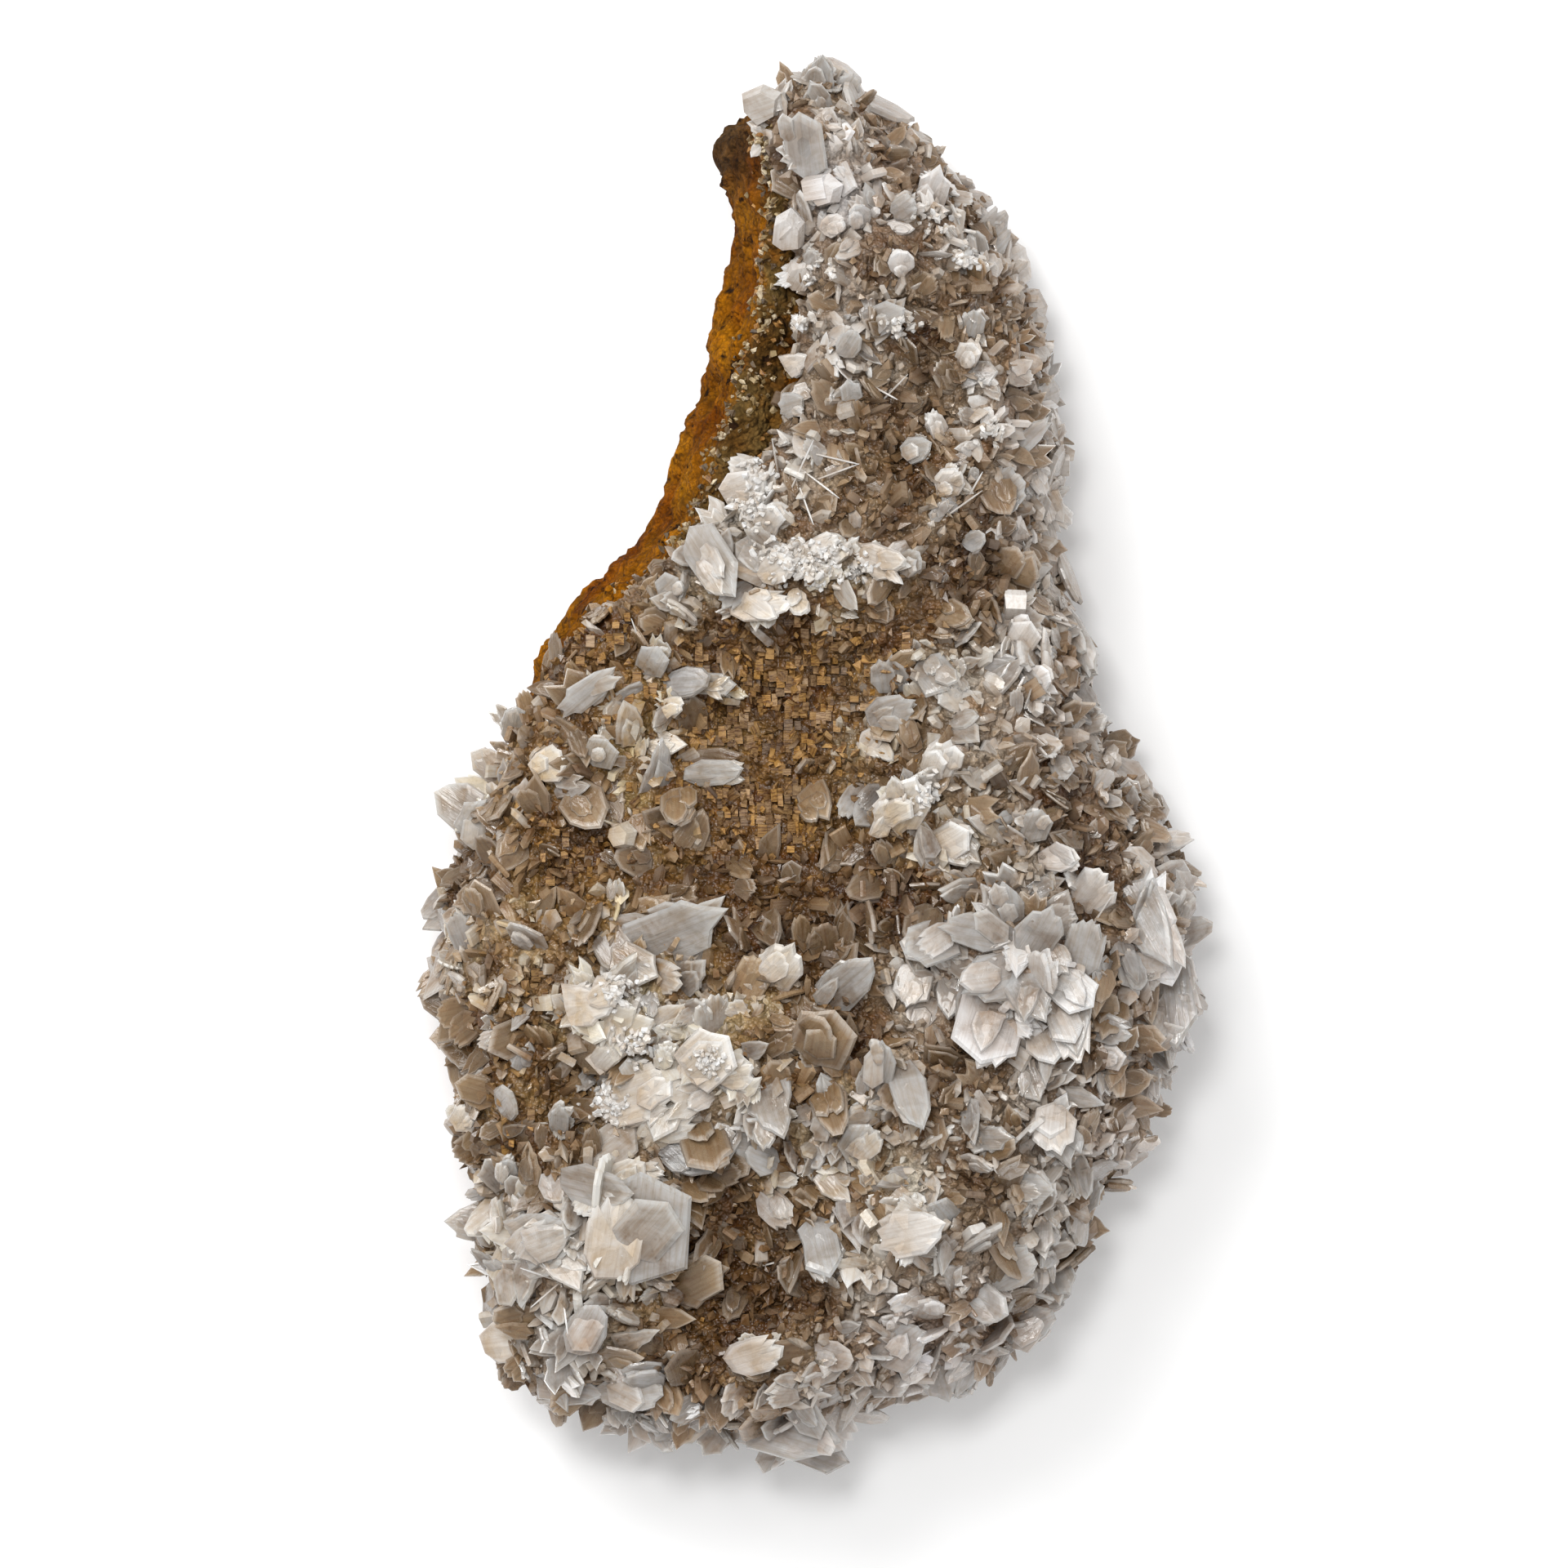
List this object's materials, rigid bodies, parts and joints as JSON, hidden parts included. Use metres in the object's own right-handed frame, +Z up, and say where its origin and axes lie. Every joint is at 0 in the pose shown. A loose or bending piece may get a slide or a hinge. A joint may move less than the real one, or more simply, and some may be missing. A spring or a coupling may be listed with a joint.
{
  "type": "gypsum crystal specimen on matrix",
  "caption": "Pear-shaped gypsum specimen: a crust of clear and milky bladed crystals over an ochre rock matrix, with a small flat spot to rest on.",
  "frame": {"origin": "centre of the bounding box in plan, at the height of the flat spot underneath", "axes": "+X towards the right of the picture, +Y along the specimen towards its narrow end, +Z up out of the crystal side"},
  "size_m": [0.069, 0.1232, 0.0342],
  "materials": {
    "gypsum_crust": "glassy to milky crystal faces",
    "matrix": "earthy ochre, rough and pitted"
  },
  "bodies": {
    "root": {"gypsum_crust": "gypsum_crust", "matrix": "matrix"}
  },
  "joints": []
}
